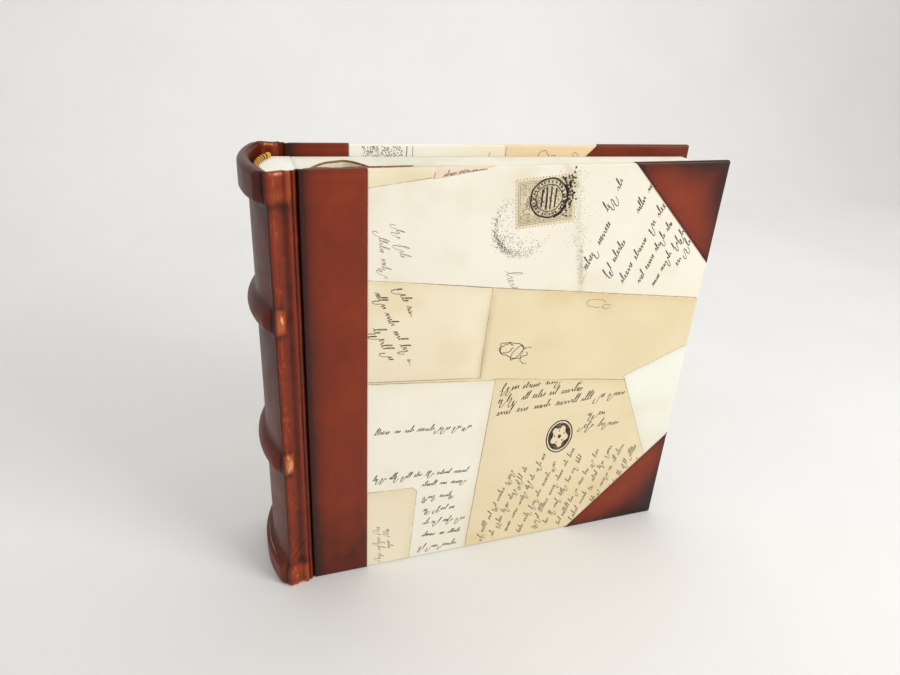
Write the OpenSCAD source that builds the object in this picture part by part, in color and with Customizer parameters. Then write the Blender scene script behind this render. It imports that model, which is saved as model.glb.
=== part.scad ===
// A half-leather album that stands on its tail: two boards, a rounded leather
// spine with raised bands, and card leaves hung on a guarded, sewn stub block.
// The spine is at -X, the fore edge at +X, the front cover at -Y, the head at +Z.

/* [Covers] */
// Height of the boards, tail to head
cover_h = 300; // [240:1:340]
// Width of each board, joint to fore edge
board_w = 285; // [220:1:320]
// Thickness of the greyboard inside each cover
greyboard_t = 2.6; // [2:0.1:3]
// Thickness of the covering leather
leather_t = 0.9; // [0.7:0.05:0.9]
// Thickness of the decorated paper on the sides
paper_t = 0.4; // [0.3:0.05:0.5]
// Thickness of the pared turn-ins and of the pastedown
inner_t = 0.3; // [0.2:0.05:0.3]
// Width of the spine leather on each board
leather_w = 38; // [25:1:50]
// Leg of the leather corner at the head
head_corner = 73; // [50:1:90]
// Leg of the leather corner at the tail
tail_corner = 81; // [50:1:90]
// Width of the turn-ins on the inner face
turn_in = 18; // [12:1:24]

/* [Spine] */
// Thickness of the closed album over the boards, at the joints
joint_thick = 73; // [70:1:76]
// Thickness of the closed album over the boards, at the fore edge
fore_thick = 52; // [48:1:56]
// How far the spine's edge stands proud of a board
shoulder_proud = 3; // [2:0.5:4]
// Distance along X from the spine's edge to the boards
shoulder_w = 17.5; // [16:0.5:19]
// How far the spine back bulges behind its edges
spine_bulge = 9; // [8:0.5:10]
// How far the raised bands and the rolls stand proud of the spine back
band_h = 5.5; // [4:0.5:6]
// Radius of the round face of a raised band
band_r = 10; // [9:0.5:10.5]
// Height of the upper raised band's middle
upper_band_z = 210; // [190:1:220]
// Height of the lower raised band's middle
lower_band_z = 107; // [90:1:120]
// Height of the rolls at the head and the tail of the spine
roll_h = 19; // [12:1:24]
// Radius of the round edge of a roll
roll_r = 3.5; // [3:0.25:3.5]

/* [Leaves] */
// Number of card leaves between the two flyleaves
leaf_count = 24; // [12:1:24]
// Thickness of a card leaf
leaf_t = 0.5; // [0.3:0.05:0.5]
// Square: how far the boards reach past the leaves at head and tail
square = 8; // [5:1:10]
// Square at the fore edge
fore_square = 6; // [4:1:8]
// How far the front flyleaf is taller than the leaves
flyleaf_extra = 5; // [0:1:6]
// How far the front flyleaf bows away from its board
bow = 31; // [0:1:31]

/* [Hidden] */
function two_digits(i) = i < 10 ? str("0", i) : str(i);
COVER_NODES = ["board", "board_leather", "paper_side", "head_corner", "tail_corner", "pastedown",
    "joint_leather", "flyleaf"];

$fn = 48;
leather_colour = [0.45, 0.2, 0.13];
board_colour = [0.55, 0.5, 0.42];
paper_colour = [0.95, 0.92, 0.84];
leaf_colour = [0.9, 0.88, 0.78];
linen_colour = [0.85, 0.8, 0.68];
endband_colour = [0.8, 0.62, 0.3];

// Covers. A cover is drawn flat: X runs from the joint to the fore edge, Y runs
// inwards from its outer face.
cover_t = leather_t + greyboard_t + inner_t;
cover_tilt = asin((joint_thick - fore_thick) / 2 / board_w);
edge_to_band = shoulder_w + spine_bulge + band_h;
total_l = edge_to_band + board_w * cos(cover_tilt);
board_x = edge_to_band - total_l / 2;
pastedown_gap = 3;

// Spine back: an arc through the two edges of the spine.
edge_x = board_x - shoulder_w;
edge_y = joint_thick / 2 + shoulder_proud;
spine_r = (pow(edge_y, 2) + pow(spine_bulge, 2)) / (2 * spine_bulge);
spine_x = edge_x - spine_bulge + spine_r;
spine_half_angle = asin(edge_y / spine_r);
wall_half_angle = spine_half_angle - 0.75;
card_t = 1.2;
slip = 0.05;
raised_r = spine_r - (band_r - band_h);
raised_half_angle = spine_half_angle - 4;
raised_wall = 1.5;
roll_x = spine_r + band_h - roll_r;
wall_end = 1;

// Joints. Each cover turns on two creases: one where the joint leather leaves
// the spine, one where it meets the board.
spine_crease = [board_x - 10.5, -(joint_thick / 2 - 1.8)];
board_crease_u = -1;
board_crease = [
    board_x + board_crease_u * cos(cover_tilt) - leather_t * sin(cover_tilt),
    -joint_thick / 2 + board_crease_u * sin(cover_tilt) + leather_t * cos(cover_tilt)];
crease_gap = 1.15;

// Leaf block: an arc at the back, where the leaves are sewn, and a stepped row
// of hinge lines at the front of the stubs.
sheet_count = leaf_count + 2;
block_half = joint_thick / 2 - cover_t - 0.2;
fore_half = fore_thick / 2 - cover_t;
block_back_x = board_x - 11;
block_bulge = 12;
block_r = (pow(block_half, 2) + pow(block_bulge, 2)) / (2 * block_bulge);
block_x = block_back_x - block_bulge + block_r;
block_half_angle = asin(block_half / block_r);
block_z = square;
block_h = cover_h - 2 * square;
mull_t = 0.5;
tape_t = 0.6;
tape_w = 14;
tape_heights = [50, 150, 250];
endband_r = 1.8;
hinge_x = board_x + 1.5;
hinge_step = 8;
stepped_sheets = 10;
hinge_gap = 0.3;
hinge_r = leaf_t / 2 + 0.04;
guard_back = 1;
leaf_end = board_x + board_w - fore_square;
bow_start = board_x + 3;
bow_end = board_x + 95;
bow_steps = 24;

function place(k) = (2 * k + 1) / sheet_count - 1;
function sheet_hinge(k) = [
    hinge_x - hinge_step * pow(max(0, 1 - k / stepped_sheets), 2),
    block_half * place(k)];
function bowed(s) = s <= 0 || s >= 1 ? 0 : pow(sin(180 * pow(s, 0.6)), 1.45);
function sheet_y(k, x) =
    let (start = sheet_hinge(k), run = (x - start[0]) / (leaf_end - start[0]))
    start[1] + run * (fore_half - block_half) * place(k)
        + bow * (1 - k / (sheet_count - 1)) * bowed((x - bow_start) / (bow_end - bow_start));
function sheet_points(k) = [for (x = concat(
    sheet_hinge(k)[0],
    [for (n = [0:bow_steps]) bow_start + (bow_end - bow_start) * n / bow_steps],
    leaf_end)) [x, sheet_y(k, x)]];
function unit(v) = v / norm(v);
function normal(p, n) =
    let (d = unit(p[min(n + 1, len(p) - 1)] - p[max(n - 1, 0)])) [-d[1], d[0]];
function arc_x(y) = block_x - sqrt(pow(block_r, 2) - pow(y, 2));

module back_side() { mirror([0, 1, 0]) children(); }

module front_place() {
    translate([board_x, -joint_thick / 2, 0]) rotate([0, 0, cover_tilt]) children();
}

// The whole covering of one board, wrapped round its edges and turned in.
module wrap(t) {
    hang = leather_t - t;
    difference() {
        translate([0, hang, hang])
            cube([board_w - hang, cover_t - hang, cover_h - 2 * hang]);
        translate([-1, leather_t, leather_t])
            cube([board_w - leather_t + 1, greyboard_t, cover_h - 2 * leather_t]);
        translate([-1, 0, turn_in])
            cube([board_w - turn_in + 1, 2 * cover_t, cover_h - 2 * turn_in]);
    }
    translate([0, hang, leather_t])
        cube([board_w - hang, t, cover_h - 2 * leather_t]);
}

module corner_zone(leg, top) {
    z = top ? cover_h : 0;
    dz = top ? -leg : leg;
    translate([0, 2 * cover_t, 0]) rotate([90, 0, 0]) linear_extrude(3 * cover_t)
        polygon([[board_w - leg, z], [board_w, z], [board_w, z + dz]]);
}

module spine_zone() {
    translate([0, -cover_t, 0]) cube([leather_w, 3 * cover_t, cover_h]);
}

module greyboard() {
    color(board_colour) front_place() translate([0, leather_t, leather_t])
        cube([board_w - leather_t, greyboard_t, cover_h - 2 * leather_t]);
}

module board_leather() {
    color(leather_colour) front_place() intersection() { wrap(leather_t); spine_zone(); }
}

module paper_side() {
    color(paper_colour) front_place() difference() {
        wrap(paper_t);
        spine_zone();
        corner_zone(head_corner, true);
        corner_zone(tail_corner, false);
    }
}

module leather_corner(leg, top) {
    color(leather_colour) front_place() intersection() { wrap(leather_t); corner_zone(leg, top); }
}

module pastedown() {
    color(paper_colour) front_place() translate([pastedown_gap, cover_t - inner_t, turn_in])
        cube([board_w - turn_in - pastedown_gap, inner_t, cover_h - 2 * turn_in]);
}

module joint_leather() {
    run = board_crease - spine_crease;
    color(leather_colour) linear_extrude(cover_h) {
        for (p = [spine_crease, board_crease]) translate(p) circle(d = leather_t);
        translate(spine_crease) rotate(atan2(run[1], run[0]))
            translate([0, -leather_t / 2]) square([norm(run), leather_t]);
    }
}

// Turns a profile drawn in radius and height through the arc of the spine.
module about_spine(centre_x, half_angle) {
    translate([centre_x, 0, 0]) rotate([0, 0, 180 - half_angle])
        rotate_extrude(angle = 2 * half_angle, $fn = 96) children();
}

module band_profile(inset, inner) {
    intersection() {
        circle(r = band_r - inset);
        translate([inner - raised_r, -band_r]) square([2 * band_r, 2 * band_r]);
    }
}

module roll_profile(inset) {
    reach = roll_h - 2 * roll_r;
    for (z = [0, reach]) translate([0, z]) circle(r = roll_r - inset);
    translate([-(roll_r - inset), 0]) square([2 * (roll_r - inset), reach]);
}

module at_tail_roll() { translate([roll_x, roll_r]) children(); }
module at_head_roll() { translate([roll_x, cover_h - roll_h + roll_r]) children(); }

// The sections of both raised bands and both rolls, inset by a skin, and cut off at an inner radius.
module raised_profiles(inset, inner) {
    for (z = [upper_band_z, lower_band_z])
        translate([raised_r, z]) band_profile(inset, inner);
    at_head_roll() roll_profile(inset);
    at_tail_roll() roll_profile(inset);
}

// The bands and rolls end a little short of the spine's edges, each closed by a wall of leather.
module spine_leather() {
    color(leather_colour) {
        difference() {
            union() {
                about_spine(spine_x, wall_half_angle) translate([spine_r - leather_t, wall_end])
                    square([leather_t, cover_h - 2 * wall_end]);
                about_spine(spine_x, raised_half_angle) raised_profiles(0, spine_r - leather_t / 2);
            }
            about_spine(spine_x, raised_half_angle - raised_wall)
                raised_profiles(leather_t, spine_r - leather_t - slip);
        }
        shoulder();
        back_side() shoulder();
    }
}

function on_spine(r, angle) = [spine_x - r * cos(angle), -r * sin(angle)];

// The flat strip of spine leather between the spine's edge and the joint. It
// starts a little way inside the curved back, so that the two are one piece.
module shoulder() {
    edge = on_spine(spine_r, spine_half_angle);
    run = unit(spine_crease - edge);
    across = [-run[1], run[0]] * leather_t;
    end = spine_crease - run * (leather_t / 2 + crease_gap);
    root = spine_half_angle - 1.5;
    linear_extrude(cover_h) polygon([
        on_spine(spine_r - leather_t / 4, root), edge, end - across / 2, end + across / 2,
        on_spine(spine_r - leather_t * 3 / 4, root)]);
}

module spine_hollow_card() {
    color(board_colour) about_spine(spine_x, spine_half_angle - 2)
        translate([spine_r - leather_t - slip - card_t, roll_h + 1])
            square([card_t, cover_h - 2 * roll_h - 2]);
}

module raised_band(z) {
    color(board_colour) about_spine(spine_x, raised_half_angle - raised_wall - 0.5)
        translate([raised_r, z]) band_profile(leather_t + slip, spine_r - leather_t + slip);
}

module head_cap_cord() {
    color(linen_colour) about_spine(spine_x, raised_half_angle - raised_wall - 0.5)
        at_head_roll() roll_profile(leather_t + slip);
}

module tail_cap_cord() {
    color(linen_colour) about_spine(spine_x, raised_half_angle - raised_wall - 0.5)
        at_tail_roll() roll_profile(leather_t + slip);
}

module spine_mull() {
    color(linen_colour) about_spine(block_x, block_half_angle)
        translate([block_r + slip, block_z + 6]) square([mull_t, block_h - 12]);
}

module sewing_tapes() {
    color(linen_colour) for (z = tape_heights) about_spine(block_x, block_half_angle)
        translate([block_r + 2 * slip + mull_t, z - tape_w / 2]) square([tape_t, tape_w]);
}

module endband(z) {
    color(endband_colour) about_spine(block_x, block_half_angle - 3)
        translate([block_r - endband_r, z]) circle(r = endband_r);
}

// A strip of the stub block from the sewn back to x_end, between y0 and y1.
module stub_strip(x_end, y0, y1) {
    x0 = arc_x(max(abs(y0), abs(y1)));
    translate([x0, y0, block_z]) cube([x_end - x0, y1 - y0, block_h]);
}

// Guards: the card strips that keep the leaves apart at the spine.
module stub_guards() {
    color(linen_colour) for (k = [0:sheet_count]) {
        low = k == 0 ? -block_half : sheet_hinge(k - 1)[1] + leaf_t / 2;
        high = k == sheet_count ? block_half : sheet_hinge(k)[1] - leaf_t / 2;
        stub_strip(sheet_hinge(max(k - 1, 0))[0] - guard_back, low, high);
    }
}

// Margins: the bound edge of each leaf, behind its hinge line.
module leaf_margins() {
    color(leaf_colour) for (k = [0:sheet_count - 1]) let (p = sheet_hinge(k))
        stub_strip(p[0] - leaf_t / 2 - hinge_gap, p[1] - leaf_t / 2, p[1] + leaf_t / 2);
}

module sheet(k, extra = 0) {
    p = sheet_points(k);
    last = len(p) - 1;
    edge = [for (side = [-1, 1]) [for (n = [0:last]) p[n] + side * leaf_t / 2 * normal(p, n)]];
    color(leaf_colour) translate([0, 0, block_z]) linear_extrude(block_h + extra) {
        polygon(concat(edge[0], [for (n = [last:-1:0]) edge[1][n]]));
        translate(p[0]) circle(r = hinge_r);
    }
}

greyboard();  // front_board
board_leather();  // front_board_leather
paper_side();  // front_paper_side
leather_corner(head_corner, true);  // front_head_corner
leather_corner(tail_corner, false);  // front_tail_corner
pastedown();  // front_pastedown
joint_leather();  // front_joint_leather
sheet(0, flyleaf_extra);  // front_flyleaf
back_side() greyboard();  // back_board
back_side() board_leather();  // back_board_leather
back_side() paper_side();  // back_paper_side
back_side() leather_corner(head_corner, true);  // back_head_corner
back_side() leather_corner(tail_corner, false);  // back_tail_corner
back_side() pastedown();  // back_pastedown
back_side() joint_leather();  // back_joint_leather
sheet(sheet_count - 1);  // back_flyleaf
spine_leather();
spine_hollow_card();
raised_band(upper_band_z);  // upper_raised_band
raised_band(lower_band_z);  // lower_raised_band
head_cap_cord();
tail_cap_cord();
spine_mull();
sewing_tapes();
endband(block_z + block_h + endband_r);  // head_endband
endband(block_z - endband_r);  // tail_endband
stub_guards();
leaf_margins();
for (i = [1:leaf_count]) sheet(i);
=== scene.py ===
"""A half-leather album, closed and standing on its tail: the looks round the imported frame."""

import math

import bmesh
import bpy
import numpy as np
from mathutils import Matrix, Vector


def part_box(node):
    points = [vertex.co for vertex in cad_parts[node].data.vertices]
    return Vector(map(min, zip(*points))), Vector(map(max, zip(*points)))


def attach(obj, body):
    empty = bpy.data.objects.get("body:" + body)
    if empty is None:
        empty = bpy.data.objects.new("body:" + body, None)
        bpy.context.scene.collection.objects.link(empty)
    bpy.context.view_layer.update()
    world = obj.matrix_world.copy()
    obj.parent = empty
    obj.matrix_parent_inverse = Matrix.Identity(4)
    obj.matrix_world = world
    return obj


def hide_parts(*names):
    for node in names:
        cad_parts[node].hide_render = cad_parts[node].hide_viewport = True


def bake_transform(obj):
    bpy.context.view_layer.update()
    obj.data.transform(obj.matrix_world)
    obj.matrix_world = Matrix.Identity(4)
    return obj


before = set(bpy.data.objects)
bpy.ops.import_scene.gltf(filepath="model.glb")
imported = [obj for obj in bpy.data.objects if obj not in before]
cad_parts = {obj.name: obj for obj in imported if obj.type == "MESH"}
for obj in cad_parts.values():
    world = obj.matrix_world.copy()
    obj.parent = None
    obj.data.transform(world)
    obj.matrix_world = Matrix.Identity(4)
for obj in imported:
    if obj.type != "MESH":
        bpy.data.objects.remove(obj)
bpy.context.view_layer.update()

# Lengths in this script are in millimetres, and MM turns them into metres.
MM = 0.001

# Driving dimensions, the same as the CAD part's.
COVER_H = 300.0
BOARD_W = 285.0
COVER_T = 3.8
LEATHER_T = 0.9
PAPER_T = 0.4
LEATHER_W = 38.0
HEAD_CORNER = 73.0
TAIL_CORNER = 81.0
TURN_IN = 18.0
JOINT_HALF = 36.5
FORE_HALF = 26.0
SPINE_EDGE_Y = 39.5
SPINE_BULGE = 9.0
BANDS = (210.0, 107.0)
BAND_H = 5.5
BAND_R = 10.0
ROLL_H = 19.0
ROLL_R = 3.5
ROLL_OFFSET = 2.0
SQUARE = 8.0

# Places worked out from the frame.
TILT = math.asin((JOINT_HALF - FORE_HALF) / BOARD_W)
BOARD_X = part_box("front_board_leather")[0].x / MM + COVER_T * math.sin(TILT)
SPINE_EDGE_X = BOARD_X - 17.5
SPINE_R = (SPINE_EDGE_Y ** 2 + SPINE_BULGE ** 2) / (2 * SPINE_BULGE)
SPINE_X = SPINE_EDGE_X - SPINE_BULGE + SPINE_R


# ---------------------------------------------------------------- helpers


def smooth_step(x, low, high):
    t = np.clip((np.asarray(x, float) - low) / (high - low), 0, 1)
    return t * t * (3 - 2 * t)


def hump(x, place, width):
    """A smooth rise to 1 at a place, about as wide as given on each side."""
    return np.exp(-((x - place) / width) ** 2)


def cloud(x, y, size, seed, octaves=3):
    """Smooth random values of about -1 to 1 over a plane, with lumps of the given size."""
    x, y = np.asarray(x, float), np.asarray(y, float)
    total, weight, amount = np.zeros(np.broadcast(x, y).shape), 1.0, 0.0
    for octave in range(octaves):
        lattice = np.random.default_rng(seed * 31 + octave).uniform(-1, 1, (64, 64))
        gx, gy = x / size + 17.3, y / size + 11.7
        ix, iy = np.floor(gx).astype(int), np.floor(gy).astype(int)
        tx, ty = gx - ix, gy - iy
        tx, ty = tx * tx * (3 - 2 * tx), ty * ty * (3 - 2 * ty)
        a, b = lattice[ix % 64, iy % 64], lattice[(ix + 1) % 64, iy % 64]
        c, d = lattice[ix % 64, (iy + 1) % 64], lattice[(ix + 1) % 64, (iy + 1) % 64]
        total += weight * ((a * (1 - tx) + b * tx) * (1 - ty) + (c * (1 - tx) + d * tx) * ty)
        amount += weight
        weight, size = weight * 0.5, size * 0.5
    return total / amount


def linear(rgb):
    """An sRGB colour from 0 to 255 as linear values."""
    c = np.asarray(rgb, float) / 255
    return np.where(c <= 0.04045, c / 12.92, ((c + 0.055) / 1.055) ** 2.4)


def add_to_scene(name, data):
    made = bpy.data.objects.new(name, data)
    bpy.context.scene.collection.objects.link(made)
    return made


def make_object(name, points, faces, smooth=True):
    """A mesh object from points in millimetres."""
    mesh = bpy.data.meshes.new(name)
    mesh.from_pydata([tuple(p) for p in np.asarray(points) * MM], [], [tuple(f) for f in faces])
    mesh.polygons.foreach_set("use_smooth", [smooth] * len(mesh.polygons))
    mesh.update()
    return add_to_scene(name, mesh)


def tube_faces(ring, count, first=0):
    """Faces round a tube of count rings of points, and over its two ends."""
    faces = [
        (first + k * ring + r, first + k * ring + (r + 1) % ring,
            first + (k + 1) * ring + (r + 1) % ring, first + (k + 1) * ring + r)
        for k in range(count - 1) for r in range(ring)]
    last = first + (count - 1) * ring
    return faces + [tuple(range(first, first + ring)), tuple(range(last + ring - 1, last - 1, -1))]


def set_values(piece, name, values):
    """Stores one number per point, which a material reads by its name."""
    attribute = piece.data.attributes.new(name, "FLOAT", "POINT")
    attribute.data.foreach_set("value", np.asarray(values, np.float32).ravel())


def set_colours(piece, colours):
    attribute = piece.data.color_attributes.new("paint", "FLOAT_COLOR", "POINT")
    rgba = np.ones((len(colours), 4), np.float32)
    rgba[:, :3] = colours
    attribute.data.foreach_set("color", rgba.ravel())


def finish_piece(piece, material, body, replaces=()):
    piece.data.materials.clear()
    piece.data.materials.append(material)
    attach(piece, body)
    if replaces:
        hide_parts(*replaces)
    return piece


def cover_point(u, v, z, side):
    """A point of a board's own frame, u from the joint and v inwards from the outer face. side is -1 for the
    front board and 1 for the back one."""
    x = BOARD_X + u * math.cos(TILT) - v * math.sin(TILT)
    y = JOINT_HALF - u * math.sin(TILT) - v * math.cos(TILT)
    return np.stack([x, side * y, z + 0 * x], -1)


# ---------------------------------------------------------------- materials


class Shader:
    """A material and short ways to add and link its nodes."""

    def __init__(self, name):
        self.material = bpy.data.materials.new(name)
        self.material.use_nodes = True
        self.tree = self.material.node_tree
        self.surface = self.tree.nodes["Principled BSDF"]
        self.place = self.node("ShaderNodeTexCoord").outputs["Object"]

    def node(self, kind, **settings):
        made = self.tree.nodes.new(kind)
        for name, value in settings.items():
            setattr(made, name, value)
        return made

    def put(self, socket, value):
        if isinstance(value, bpy.types.NodeSocket):
            self.tree.links.new(value, socket)
        elif isinstance(value, (tuple, list, np.ndarray)):
            socket.default_value = (*value[:3], 1.0) if len(socket.default_value) == 4 else value
        else:
            socket.default_value = value

    def texture(self, kind, stretch=(1, 1, 1), **settings):
        """A texture laid out in the object's own places, stretched along its axes."""
        mapping = self.node("ShaderNodeMapping")
        mapping.inputs["Scale"].default_value = stretch
        self.put(mapping.inputs["Vector"], self.place)
        made = self.node(kind)
        self.put(made.inputs["Vector"], mapping.outputs["Vector"])
        for name, value in settings.items():
            self.put(made.inputs[name], value)
        return made.outputs

    def noise(self, scale, detail=3.0, roughness=0.55, stretch=(1, 1, 1)):
        return self.texture("ShaderNodeTexNoise", stretch, Scale=scale, Detail=detail, Roughness=roughness)["Fac"]

    def cells(self, scale):
        return self.texture("ShaderNodeTexVoronoi", Scale=scale)["Distance"]

    def value(self, name):
        return self.node("ShaderNodeAttribute", attribute_name=name).outputs["Fac"]

    def colour(self, name):
        return self.node("ShaderNodeAttribute", attribute_name=name).outputs["Color"]

    def math(self, operation, a, b=0.0, c=0.0, clamp=False):
        made = self.node("ShaderNodeMath", operation=operation, use_clamp=clamp)
        for socket, value in zip(made.inputs, (a, b, c)):
            self.put(socket, value)
        return made.outputs[0]

    def spread(self, value, low, high):
        """Stretches a noise of 0 to 1 round its middle to low and high."""
        made = self.node("ShaderNodeMapRange")
        for socket, number in zip(made.inputs, (value, 0.3, 0.7, low, high)):
            self.put(socket, number)
        return made.outputs["Result"]

    def ramp(self, value, stops):
        made = self.node("ShaderNodeValToRGB")
        elements = made.color_ramp.elements
        while len(elements) < len(stops):
            elements.new(0.5)
        for element, (position, rgb) in zip(elements, stops):
            element.position = position
            element.color = (*linear(rgb), 1.0)
        self.put(made.inputs["Fac"], value)
        return made.outputs["Color"]

    def mix(self, factor, a, b, blend="MIX"):
        made = self.node("ShaderNodeMix", data_type="RGBA", blend_type=blend)
        self.put(made.inputs["Factor"], factor)
        self.put(made.inputs[6], a)
        self.put(made.inputs[7], b)
        return made.outputs[2]

    def bump(self, height, strength, distance):
        made = self.node("ShaderNodeBump")
        for name, value in (("Height", height), ("Strength", strength), ("Distance", distance)):
            self.put(made.inputs[name], value)
        self.put(self.surface.inputs["Normal"], made.outputs["Normal"])

    def set(self, **values):
        for name, value in values.items():
            self.put(self.surface.inputs[name.replace("_", " ")], value)
        return self.material


def leather_material():
    """Smooth calf: mottled dye that a tone value darkens or lightens, fine grain and a waxed gloss."""
    s = Shader("calf_leather")
    mottle = s.spread(s.noise(30, 4, 0.55), -0.045, 0.045)
    streak = s.spread(s.noise(90, 4, 0.6, (1, 1, 0.22)), -0.022, 0.022)
    speck = s.spread(s.noise(900, 2), -0.02, 0.02)
    # The tone value also carries painted shade and painted highlights.
    tone = s.math("ADD", s.math("ADD", s.value("tone"), mottle), s.math("ADD", streak, speck), clamp=True)
    colour = s.ramp(tone, [
        (0.0, (24, 9, 6)), (0.25, (68, 21, 9)), (0.5, (128, 43, 13)),
        (0.75, (164, 74, 30)), (1.0, (228, 168, 128))])
    grain = s.math("MULTIPLY", s.cells(1300), 0.5)
    pores = s.math("MULTIPLY", s.noise(2600, 2), 0.35)
    dents = s.noise(150, 3)
    s.bump(s.math("ADD", s.math("ADD", grain, pores), s.math("MULTIPLY", dents, 1.6)), 0.22, 0.0004)
    return s.set(
        Base_Color=colour, Roughness=s.spread(s.noise(60, 4), 0.36, 0.5),
        Specular_IOR_Level=0.28, Coat_Weight=0.04, Coat_Roughness=0.3)


def paper_material():
    """Printed paper: its colours are painted on the mesh, and fibres and a little foxing lie over them."""
    s = Shader("side_paper")
    fibre = s.spread(s.noise(1500, 3, 0.6, (1, 1, 0.5)), 0.985, 1.012)
    wash = s.spread(s.noise(28, 4), 0.982, 1.015)
    shade = s.math("MULTIPLY", fibre, wash)
    tinted = s.mix(1.0, s.colour("paint"), shade, "MULTIPLY")
    fox = s.spread(s.noise(260, 2), 0.0, 1.0)
    spots = s.math("MULTIPLY", s.math("GREATER_THAN", fox, 1.04), 0.22)
    colour = s.mix(spots, tinted, tuple(linear((196, 160, 110))))
    s.bump(s.noise(1800, 3), 0.12, 0.0002)
    return s.set(Base_Color=colour, Roughness=s.spread(s.noise(500, 2), 0.5, 0.62), Specular_IOR_Level=0.35)


def ink_material(name, rgb, thin_rgb):
    """Iron-gall ink: dark where the pen pressed and brown where it ran thin."""
    s = Shader(name)
    colour = s.ramp(s.spread(s.noise(420, 3), 0.0, 1.0), [(0.0, thin_rgb), (0.55, rgb), (1.0, rgb)])
    s.bump(s.noise(2500, 2), 0.1, 0.0001)
    return s.set(Base_Color=colour, Roughness=0.6, Specular_IOR_Level=0.3)


def card_material(name, rgb, shade_rgb):
    """Album card: warm white with a soft mottle and short fibres."""
    s = Shader(name)
    colour = s.ramp(s.spread(s.noise(70, 5), 0.0, 1.0), [(0.0, shade_rgb), (0.7, rgb), (1.0, rgb)])
    flecks = s.math("MULTIPLY", s.math("GREATER_THAN", s.noise(1700, 1), 0.68), 0.16)
    speckled = s.mix(flecks, colour, tuple(linear(np.array(shade_rgb) * 0.82)))
    s.bump(s.noise(1300, 3, 0.6, (1, 1, 0.4)), 0.2, 0.0002)
    return s.set(Base_Color=speckled, Roughness=s.spread(s.noise(300, 2), 0.72, 0.85), Specular_IOR_Level=0.25)


def edged_paper_material():
    """Endpaper with a brown stained edge, where its edge value is high."""
    s = Shader("edged_endpaper")
    cream = s.ramp(s.spread(s.noise(60, 4), 0.0, 1.0), [(0.0, (234, 226, 200)), (1.0, (243, 238, 218))])
    brown = s.ramp(s.spread(s.noise(400, 3), 0.0, 1.0), [(0.0, (126, 84, 46)), (1.0, (168, 122, 74))])
    wobble = s.spread(s.noise(500, 2), -0.12, 0.12)
    edge = s.math("GREATER_THAN", s.math("ADD", s.value("edge"), wobble), 0.5)
    s.bump(s.noise(1500, 3), 0.15, 0.0002)
    return s.set(Base_Color=s.mix(edge, cream, brown), Roughness=0.7, Specular_IOR_Level=0.3)


def weave_material(name, rgb, gap_rgb, pitch):
    """Plain-woven linen, with threads every pitch millimetres."""
    s = Shader(name)
    threads = 2 * math.pi / (pitch * MM)
    split = s.node("ShaderNodeSeparateXYZ")
    s.put(split.inputs[0], s.place)
    across = s.math("SINE", s.math("MULTIPLY", s.math("ADD", split.outputs[0], split.outputs[1]), threads))
    along = s.math("SINE", s.math("MULTIPLY", split.outputs[2], threads))
    weave = s.math("MULTIPLY_ADD", s.math("MULTIPLY", across, along), 0.5, 0.5)
    uneven = s.math("MULTIPLY", weave, s.spread(s.noise(300, 2), 0.75, 1.1), clamp=True)
    s.bump(weave, 0.6, 0.0003)
    return s.set(Base_Color=s.ramp(uneven, [(0.0, gap_rgb), (1.0, rgb)]), Roughness=0.9)


def board_material():
    s = Shader("greyboard")
    colour = s.ramp(s.spread(s.noise(500, 4), 0.0, 1.0), [(0.0, (120, 112, 98)), (1.0, (164, 155, 138))])
    s.bump(s.noise(1500, 3), 0.4, 0.0003)
    return s.set(Base_Color=colour, Roughness=0.9)


def thread_material():
    """Endband silk: gold and dark red turns, from the painted colour, with fine ply lines."""
    s = Shader("endband_silk")
    ply = s.math("SINE", s.math("MULTIPLY", s.noise(1200, 2, 0.5, (1, 1, 0.2)), 40.0))
    s.bump(ply, 0.3, 0.0002)
    colour = s.mix(s.spread(s.noise(800, 2), 0.0, 0.14), s.colour("paint"), tuple(linear((96, 50, 20))))
    return s.set(Base_Color=colour, Roughness=0.5, Specular_IOR_Level=0.35)


LEATHER = leather_material()
PAPER = paper_material()
INK = ink_material("pen_ink", (44, 36, 34), (104, 84, 68))
# Pale ink, which also draws the painted shadow dots round the stamp's edge.
PALE_INK_AND_SHADOW = ink_material("pale_ink_and_shadow", (122, 110, 96), (170, 156, 138))
RED_INK = ink_material("red_ink", (150, 92, 70), (186, 132, 104))
LINE_INK = ink_material("sheet_edge_line", (150, 132, 112), (186, 168, 144))
CARD = card_material("leaf_card", (254, 253, 243), (247, 245, 229))
ENDPAPER = card_material("endpaper", (243, 238, 222), (239, 233, 215))
EDGED = edged_paper_material()
LINEN = weave_material("linen", (216, 204, 176), (150, 136, 108), 0.6)
CORD = weave_material("cord", (200, 186, 150), (130, 114, 84), 1.2)
BOARD = board_material()
SILK = thread_material()


# ---------------------------------------------------------------- spine leather and joints

# The outer line of the leather in plan, on one side, from the board's edge over the groove, the ridges of the
# joint strip and the arris: distances from the board's edge in X, and from the middle in Y.
STRIP = [
    (-0.35, 35.0), (0.3, 34.1), (1.1, 34.1), (2.0, 35.6), (2.8, 37.0), (3.5, 37.1), (4.1, 36.7), (4.8, 37.3),
    (6.0, 38.0), (7.2, 37.5), (8.4, 36.8), (9.6, 36.7), (11.2, 37.3), (13.2, 38.2), (15.2, 38.9), (16.7, 39.4),
    (17.7, 39.3), (18.4, 38.5)]
JOINT_MIDDLE = 4.1
STRIP_START = 13.6
ARRIS = 17.9
# The joint strip is hollowed along its middle above one height and below another.
HOLLOW_ABOVE, HOLLOW_BELOW = 251, 66
COLUMN_STEP = 0.4
ARC_STEP = 1.3
ROW_STEP = 1.25


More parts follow.
